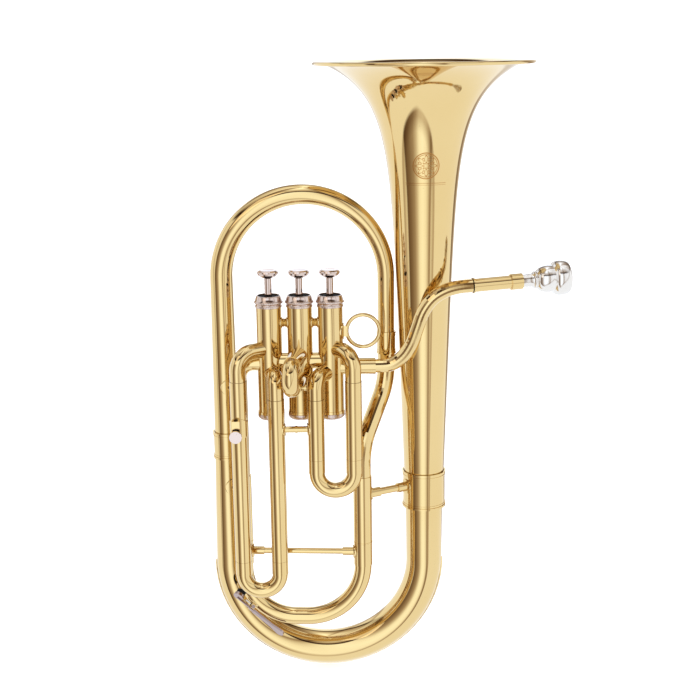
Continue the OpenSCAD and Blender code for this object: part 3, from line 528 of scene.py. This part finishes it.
def swept_tube(name, path, radii, wall, sides):
    """Hollow tube: up the outside, over the end and back down the inside."""
    along = tangents(path)
    outside = [ring_round(p, t, r, sides) for p, t, r in zip(path, along, radii)]
    inside = [ring_round(p, t, r - wall, sides) for p, t, r in zip(path, along, radii)]
    return closed_grids(name, [outside + inside[::-1]])


def between(values, share):
    """Value at a share of the way along a list of evenly spaced values, in straight steps."""
    at = min(max(share, 0), 1) * (len(values) - 1)
    i = min(int(at), len(values) - 2)
    return values[i] + (values[i + 1] - values[i]) * (at - i)


# ---- Bell ----

BELL_PROFILE_STEPS = 150
BELL_TURNS = 192
# Steps crowd towards the rim by this power
RIM_CROWDING = 2.2
RIM_BEAD_R = 1.9 * MM
THROAT_R = 33.8 * MM
FLARE_DEPTH = 28.6 * MM
FLARE_POWER = 0.8155
STEM_TAPER = 0.0345


def bell_radius(depth):
    """Outside radius of the bell at a depth under its rim: a flare that dies out into a cone."""
    flare = (RIM_R - THROAT_R) * math.exp(-((depth / FLARE_DEPTH) ** FLARE_POWER))
    return flare + THROAT_R - STEM_TAPER * depth


def make_bell():
    """Spun sheet bell, from its stem up to the rim rolled over a wire."""
    depth = BELL_HIGH.z - 0.3 * MM - BELL_LOW.z
    top = BELL_HIGH.z - 0.4 * MM
    step = 0.1 * MM
    outside = []
    inside = []
    for k in range(BELL_PROFILE_STEPS, 0, -1):
        d = depth * (k / BELL_PROFILE_STEPS) ** RIM_CROWDING
        r = bell_radius(d)
        slope = (bell_radius(d + step) - r) / step
        length = math.hypot(1, slope)
        outside.append((r, top - d))
        inside.append((r - SHEET / length, top - d - SHEET * slope / length))
    sheet_end = RIM_R - 2.3 * RIM_BEAD_R
    outside = [p for p in outside if p[0] < sheet_end]
    inside = [p for p in inside if p[0] < sheet_end]
    bead_x, bead_z = RIM_R - RIM_BEAD_R, BELL_HIGH.z - RIM_BEAD_R
    roll = [
        (bead_x + RIM_BEAD_R * math.cos(t), bead_z + RIM_BEAD_R * math.sin(t))
        for t in (math.radians(14 * k - 180) for k in range(21))
    ]
    profile = outside + roll + inside[::-1]
    rings = lathe(middle("bell"), [(r, z, 0) for r, z in profile], BELL_TURNS)
    mesh = closed_grids("bell", [rings])
    new_piece(
        "bell_spun", mesh, "horn", "lacquered_brass", "bell", "bell_stem", look="engraved_brass")


# ---- Bows ----

HALF_CIRCLE_STEPS = 96
LEG_STEPS = 12
BRANCH_STEPS = 24
# Points on each side that even out a taper
TAPER_REACH = 6


def smooth(values, reach):
    """Running mean, so that a taper has no kink where its rate changes."""
    count = len(values)
    result = []
    for i in range(count):
        near = min(reach, i, count - 1 - i)
        part = values[i - near:i + near + 1]
        result.append(sum(part) / len(part))
    return result


def bow_line(start, end, middle_x, middle_z, bend_r, first_angle, sizes, end_steps):
    """Centre line and outside radii of a bow: a leg, half a circle from first_angle, a leg."""
    def on_circle(share):
        t = first_angle + math.pi * share
        return Vector((middle_x + bend_r * math.cos(t), 0, middle_z + bend_r * math.sin(t)))

    leg = [k / LEG_STEPS for k in range(LEG_STEPS)]
    half = [k / HALF_CIRCLE_STEPS for k in range(HALF_CIRCLE_STEPS + 1)]
    last = [k / end_steps for k in range(1, end_steps + 1)]
    path = [start.lerp(on_circle(0), share) for share in leg]
    path += [on_circle(share) for share in half]
    path += [on_circle(1).lerp(end, share) for share in last]
    radii = [between(sizes[:2], share) for share in leg]
    radii += [between(sizes[1:4], share) for share in half]
    radii += [between(sizes[3:], share) for share in last]
    return path, smooth(radii, TAPER_REACH)


def make_bottom_bow():
    start = Vector((BRANCH_X, 0, middle("branch_ferrule").z))
    end = Vector((BELL_X, 0, BELL_LOW.z - 0.3 * MM))
    path, radii = bow_line(start, end, BOW_X, BOW_Z, BOW_R, math.pi, BOTTOM_R, LEG_STEPS)
    mesh = swept_tube("bottom_bow", path, radii, SHEET, 72)
    new_piece("bottom_bow_drawn", mesh, "horn", "lacquered_brass", "bottom_bow")


def make_top_bow():
    start = Vector((LEG_X, 0, middle("top_bow_ferrule").z))
    end = Vector((BRANCH_X, 0, TOP_LOW.z))
    path, radii = bow_line(start, end, TOP_BOW_X, TOP_BOW_Z, TOP_BOW_R, 0, TOP_R, BRANCH_STEPS)
    mesh = swept_tube("top_bow", path, radii, SHEET, 56)
    new_piece("top_bow_drawn", mesh, "horn", "lacquered_brass", "top_bow")


# ---- Valves and small fittings ----

CAP_TURNS = 240
CAP_TEETH = 60
KNURL = 0.16 * MM


def make_top_cap(number):
    """Knurled top cap: flange, sloping shoulder, felt recess and stem hole."""
    low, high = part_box(f"top_cap_{number}")
    # The recess holds the black felt, whose black also paints the dark reflection on the cap's top
    felt_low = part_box("cap_felts")[0].z
    stem_low, stem_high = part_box(f"valve_stem_{number}")
    hole = (stem_high.x - stem_low.x) / 2 + 0.3 * MM
    flange = (high.x - low.x) / 2
    outline = [
        (0.9, 0.05, 0), (0.925, 0.3, 0), (0.93, 0.6, 1), (0.93, 2.1, 1), (0.9, 2.5, 0), (0.89, 3.3, 0),
        (0.93, 3.8, 0), (0.975, 4.2, 1), (1.0, 4.8, 1), (1.0, 5.5, 1), (0.975, 6.1, 1), (0.945, 6.5, 0),
    ]
    profile = [(flange * share, low.z + up * MM, KNURL * cut) for share, up, cut in outline]
    profile += [
        (flange * 0.86, high.z - 0.9 * MM, 0), (flange * 0.845, high.z - 0.3 * MM, 0),
        (flange * 0.825, high.z, 0), (flange * 0.77, high.z, 0), (flange * 0.75, high.z - 0.3 * MM, 0),
        (flange * 0.748, felt_low - 0.02 * MM, 0), (hole, felt_low - 0.02 * MM, 0),
        (hole, low.z + 5.2 * MM, 0), (flange * 0.85, low.z + 5.1 * MM, 0),
        (flange * 0.85, low.z + 0.05 * MM, 0),
    ]
    mesh = closed_grids("top_cap", [lathe((low + high) / 2, profile, CAP_TURNS, CAP_TEETH)])
    new_piece(f"top_cap_{number}_knurled", mesh, "horn", "nickel", f"top_cap_{number}")


def make_bottom_cap(number):
    """Knurled bottom cap with a rounded, dished end and a breather hole."""
    low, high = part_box(f"bottom_cap_{number}")
    edge = (high.x - low.x) / 2
    tall = high.z - low.z
    web = 2.5 * MM
    outline = [
        (1.6 * MM, 0.0, 0), (0.5 * edge, 0.0, 0), (0.68 * edge, 0.01, 0), (0.84 * edge, 0.11, 0),
        (0.93 * edge, 0.28, 0), (0.975 * edge, 0.42, 0), (edge, 0.52, 1), (edge, 0.9, 1),
        (0.98 * edge, 0.97, 0), (0.965 * edge, 0.998, 0),
    ]
    profile = [(r, low.z + tall * share, KNURL * cut) for r, share, cut in outline]
    profile += [
        (0.89 * edge, high.z - 0.01 * MM, 0), (0.89 * edge, low.z + web, 0), (1.6 * MM, low.z + web, 0),
    ]
    mesh = closed_grids("bottom_cap", [lathe((low + high) / 2, profile, CAP_TURNS, CAP_TEETH)])
    new_piece(f"bottom_cap_{number}_knurled", mesh, "horn", "nickel", f"bottom_cap_{number}")


BRACE_TURNS = 48


def make_casing_braces():
    """Turned spools between the casings, their ends cut to the casings' curve."""
    low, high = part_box("casing_braces")
    flange = (high.z - low.z) / 2
    height = (low.z + high.z) / 2
    outline = [
        (0.0, 1.0), (0.09, 1.0), (0.13, 0.96), (0.17, 0.8), (0.22, 0.7), (0.28, 0.78), (0.35, 0.86),
        (0.42, 0.78), (0.47, 0.7), (0.5, 0.68),
    ]
    outline += [(1 - at, r) for at, r in outline[-2::-1]]
    grids = []
    for left, right in ((3, 2), (2, 1)):
        a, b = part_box(f"valve_casing_{left}"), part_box(f"valve_casing_{right}")
        start, end = (a[0].x + a[1].x) / 2, (b[0].x + b[1].x) / 2
        y = (a[0].y + a[1].y) / 2
        rings = []
        for k in range(BRACE_TURNS):
            t = 2 * math.pi * k / BRACE_TURNS
            ring = []
            for at, share in [(0, 0.3)] + outline + [(1, 0.3)]:
                side = flange * share * math.cos(t)
                back = math.sqrt(CASING_R ** 2 - side ** 2)
                x = start + back + (end - start - 2 * back) * at
                ring.append(Vector((x, y + side, height + flange * share * math.sin(t))))
            rings.append(ring)
        grids.append(rings)
    mesh = closed_grids("casing_braces", grids)
    new_piece("casing_braces_turned", mesh, "horn", "lacquered_brass", "casing_braces")


SPRING_TURNS = 6
STEPS_PER_TURN = 40
WIRE_SIDES = 12
SPRING_WIRE = 0.55 * MM
# Pitch of the closed turn at each end of a spring, in wire radii
SPRING_CLOSED = 2.3


def make_valve_spring(number):
    """Coil under a piston with closed end turns."""
    low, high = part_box(f"valve_spring_{number}")
    centre = (low + high) / 2
    reach = (high.x - low.x) / 2 - SPRING_WIRE
    foot, top = low.z + SPRING_WIRE, high.z - SPRING_WIRE
    pitch = SPRING_CLOSED * SPRING_WIRE
    steps = STEPS_PER_TURN * SPRING_TURNS
    turns = [SPRING_TURNS * k / steps for k in range(steps + 1)]
    heights = []
    for turn in turns:
        closed = min(turn, 1) + max(turn - SPRING_TURNS + 1, 0)
        free = min(max((turn - 1) / (SPRING_TURNS - 2), 0), 1)
        heights.append(foot + pitch * closed + (top - foot - 2 * pitch) * free)
    path = [
        Vector((
            centre.x + reach * math.cos(2 * math.pi * turn),
            centre.y + reach * math.sin(2 * math.pi * turn), height))
        for turn, height in zip(turns, smooth(heights, STEPS_PER_TURN * 3 // 10))
    ]
    along = tangents(path)

    def coil(radius):
        rings = []
        for point, ahead in zip(path, along):
            out = Vector((point.x - centre.x, point.y - centre.y, 0)).normalized()
            up = out.cross(ahead).normalized()
            rings.append([
                point + radius * (math.cos(t) * out + math.sin(t) * up)
                for t in (2 * math.pi * n / WIRE_SIDES for n in range(WIRE_SIDES))
            ])
        return rings

    mesh = closed_grids("valve_spring", [coil(SPRING_WIRE) + coil(SPRING_WIRE / 10)[::-1]])
    spring = new_piece(
        f"valve_spring_{number}_coiled", mesh, "horn", "spring_steel", f"valve_spring_{number}")
    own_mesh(spring)


# Where the receiver starts, its turn about Y and then Z in degrees, and the shank's start along it
RECEIVER_START = Vector((142, -34, 404)) * MM
RECEIVER_TURN = (87.9, 12.3)
SHANK_START = 29
MOUTHPIECE_RIM = 17
# Outside of the mouthpiece as (radius, distance along the receiver): shank, bead, bowl and rim
MOUTHPIECE_OUTSIDE = [
    (5.4, SHANK_START), (5.91, 49), (6.0, 49.4), (6.3, 55), (6.6, 59.4), (6.9, 60.1), (7.7, 60.4),
    (8.25, 61.0), (8.45, 61.9), (8.3, 62.8), (7.9, 63.3), (7.9, 63.8), (8.8, 64.3), (10.0, 65.3),
    (11.2, 67.0), (12.2, 69.3), (12.9, 71.8), (13.25, 74.4), (13.2, 76.8), (12.95, 78.6), (12.95, 79.6),
    (13.5, 80.1), (14.7, 80.8), (15.9, 82.1), (16.5, 83.7), (MOUTHPIECE_RIM, 85.6),
    (MOUTHPIECE_RIM, 89.6), (16.6, 91.8), (16.2, 93.3), (15.5, 94.5), (14.9, 94.95),
]
MOUTHPIECE_INSIDE = [
    (14.4, 95), (13.9, 94.8), (13.4, 94.3), (12.9, 93.3), (12.5, 90), (12.1, 87), (11.4, 82.5),
    (10.4, 79), (8.8, 75.8), (7.0, 73), (5, 70.8), (3.3, 69), (2.6, 67.8), (2.6, 66), (3.2, 58),
    (3.9, 48), (4.4, SHANK_START),
]


def make_mouthpiece():
    """Turned mouthpiece: taper shank, bead, round bowl and rolled rim."""
    profile = [(r * MM, z * MM, 0) for r, z in MOUTHPIECE_OUTSIDE + MOUTHPIECE_INSIDE]
    mesh = closed_grids("mouthpiece", [lathe(Vector(), profile, 96)])
    tilt, swing = (math.radians(a) for a in RECEIVER_TURN)
    turn = Matrix.Rotation(swing, 4, "Z") @ Matrix.Rotation(tilt, 4, "Y")
    mesh.transform(Matrix.Translation(RECEIVER_START) @ turn)
    new_piece("mouthpiece_turned", mesh, "mouthpiece", "silver_plate", "mouthpiece")


# Soldered joint lines: node, and how far the line lies under the node's top
SEAM_WIRE = 0.2 * MM
SEAM_TURNS = 64
SEAM_SIDES = 8
SEAMS = (
    ("third_sleeve_left", 34.0), ("third_sleeve_right", 29.1),
    ("first_sleeve_left", 29.5), ("first_sleeve_right", 35.4),
)


def torus(centre, along, radius, wire):
    side = along.orthogonal().normalized()
    up = along.cross(side)
    rings = []
    for k in range(SEAM_TURNS):
        t = 2 * math.pi * k / SEAM_TURNS
        out = math.cos(t) * side + math.sin(t) * up
        rings.append([
            centre + (radius + wire * math.cos(a)) * out + wire * math.sin(a) * along
            for a in (2 * math.pi * n / SEAM_SIDES for n in range(SEAM_SIDES))
        ])
    return rings


def make_seams():
    """Thin dark lines where the elbows are soldered into the valve sleeves."""
    grids = []
    for node, drop in SEAMS:
        low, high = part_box(node)
        inner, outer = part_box(node.replace("sleeve_left", "slide").replace("sleeve_right", "slide"))
        left = node.endswith("left")
        x = inner.x + SLEEVE_R if left else outer.x - SLEEVE_R
        centre = Vector((x, low.y + SLEEVE_R, high.z - drop * MM))
        grids.append(torus(centre, Vector((0, 0, 1)), SLEEVE_R - 0.12 * MM, SEAM_WIRE))
    mesh = closed_grids("seams", grids)
    new_piece("solder_seams", mesh, "horn", "lacquered_brass", look="solder_line")


make_camera()
make_floor()
make_world()
make_light("key", KEY_PLACE, KEY_AIM, KEY_SIZE, KEY_WATTS)
paint_frame()
make_bell()
make_bottom_bow()
make_top_bow()
for number in (1, 2, 3):
    make_top_cap(number)
    make_bottom_cap(number)
    make_valve_spring(number)
make_casing_braces()
make_mouthpiece()
make_seams()
bpy.context.scene.view_settings.view_transform = "Standard"
